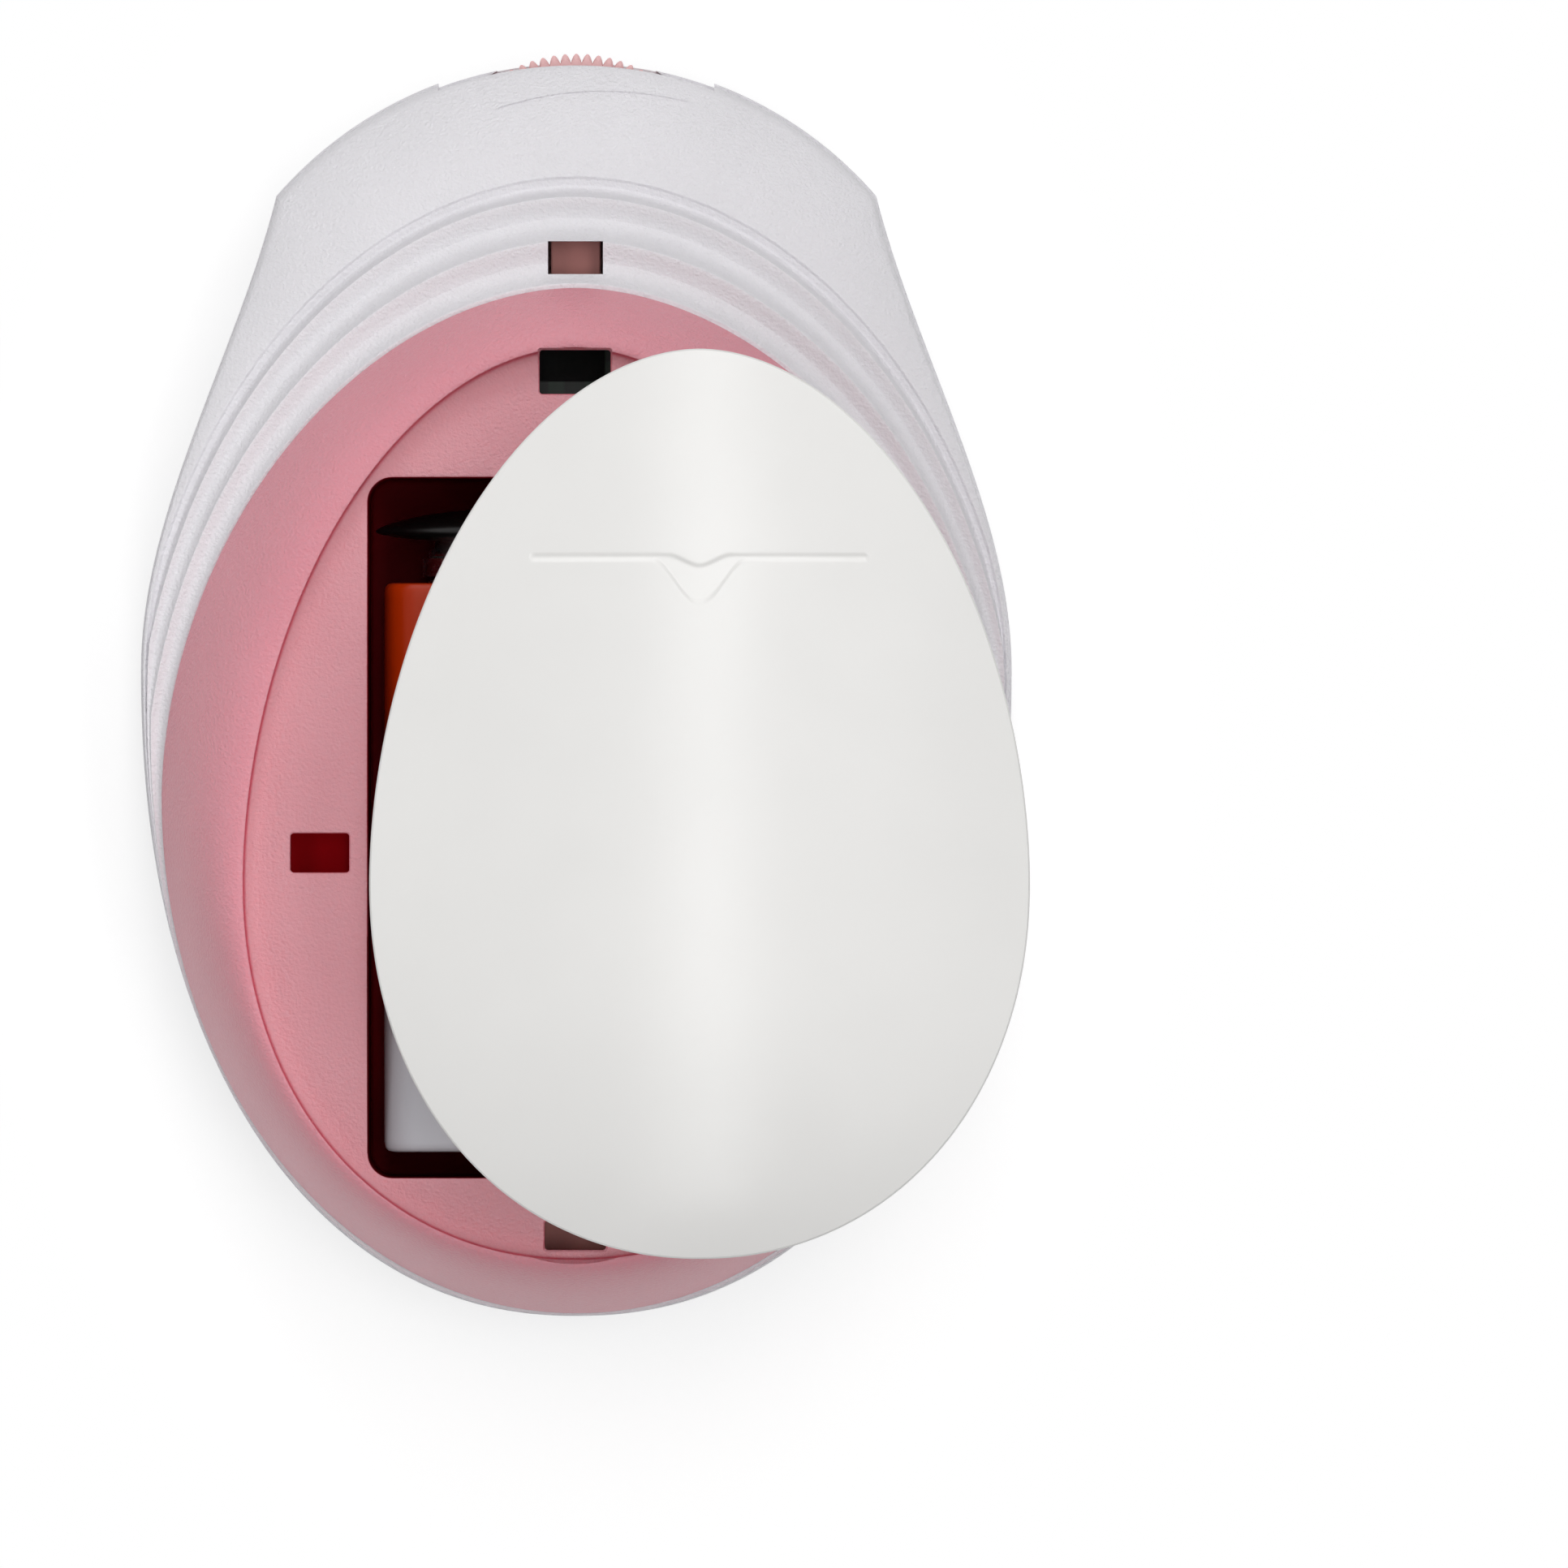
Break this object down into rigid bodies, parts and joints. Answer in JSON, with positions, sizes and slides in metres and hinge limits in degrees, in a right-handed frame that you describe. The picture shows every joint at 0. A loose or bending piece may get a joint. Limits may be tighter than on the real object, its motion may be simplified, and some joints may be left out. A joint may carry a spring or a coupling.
{
  "type": "fetal doppler monitor",
  "caption": "Egg-shaped hand-held fetal doppler with a stepped white collar, pink dome, lift-off battery cover, volume thumbwheel and round probe face.",
  "frame": {"origin": "middle of the flat contact face of the probe, on which the unit lies", "axes": "+Y towards the head end with the volume wheel, +Z away from the probe, out of the battery side, +X to the right seen from the battery side with the head end up"},
  "size_m": [0.0726, 0.1035, 0.0568],
  "materials": {
    "white_shell": "fine moulded grain, satin",
    "pink_shell": "fine moulded grain, satin",
    "white_cover": "smooth satin gloss",
    "screw_steel": "zinc plated",
    "board_green": "solder mask",
    "chip_black": "moulded",
    "capacitor_sleeve": "shrunk sleeve",
    "jack_black": "moulded",
    "shaft_brass": "turned",
    "pink_wheel": "moulded, toothed rim",
    "battery_jacket": "printed jacket, orange and white",
    "battery_plate": "pressed board",
    "terminal_nickel": "nickel plated",
    "vinyl_black": "soft vinyl",
    "lead_red": "insulation",
    "probe_grey": "smooth acoustic face",
    "gasket_rubber": "matt",
    "ceramic": "fired ceramic",
    "divider_cork": "cork",
    "backing_resin": "cast resin",
    "cap_plastic": "moulded",
    "lead_grey": "insulation"
  },
  "bodies": {
    "housing": {"bottom_shell": "white_shell", "collar_shell": "white_shell", "dome_shell": "pink_shell", "housing_screws": "screw_steel", "main_board": "board_green", "board_chips": "chip_black", "board_capacitors": "capacitor_sleeve", "board_screws": "screw_steel", "headphone_jack_left": "jack_black", "headphone_jack_right": "jack_black", "potentiometer_base": "jack_black", "battery_case": "battery_jacket", "battery_top_plate": "battery_plate", "battery_positive_stud": "terminal_nickel", "battery_negative_crown": "terminal_nickel", "snap_connector": "vinyl_black", "snap_contacts": "terminal_nickel", "battery_lead_red": "lead_red", "battery_lead_black": "vinyl_black", "probe_face": "probe_grey", "probe_bezel": "white_shell", "probe_gasket": "gasket_rubber", "transmit_crystal": "ceramic", "receive_crystal": "ceramic", "probe_divider": "divider_cork", "probe_backing": "backing_resin", "probe_cap": "cap_plastic", "probe_lead": "lead_grey"},
    "cover": {"battery_cover": "white_cover"},
    "volume_knob": {"volume_wheel": "pink_wheel", "potentiometer_shaft": "shaft_brass", "wheel_screw": "screw_steel"}
  },
  "joints": [
    {"name": "cover_lift", "type": "slide", "parent": "housing", "child": "cover", "axis": [0.4472, 0, 0.8944], "range_m": [-0.0228, 0.012]},
    {"name": "volume_turn", "type": "hinge", "parent": "housing", "child": "volume_knob", "pos_m": [0, 0.04392, 0.012], "axis": [0, 0, 1], "range_deg": [0, 290]}
  ]
}
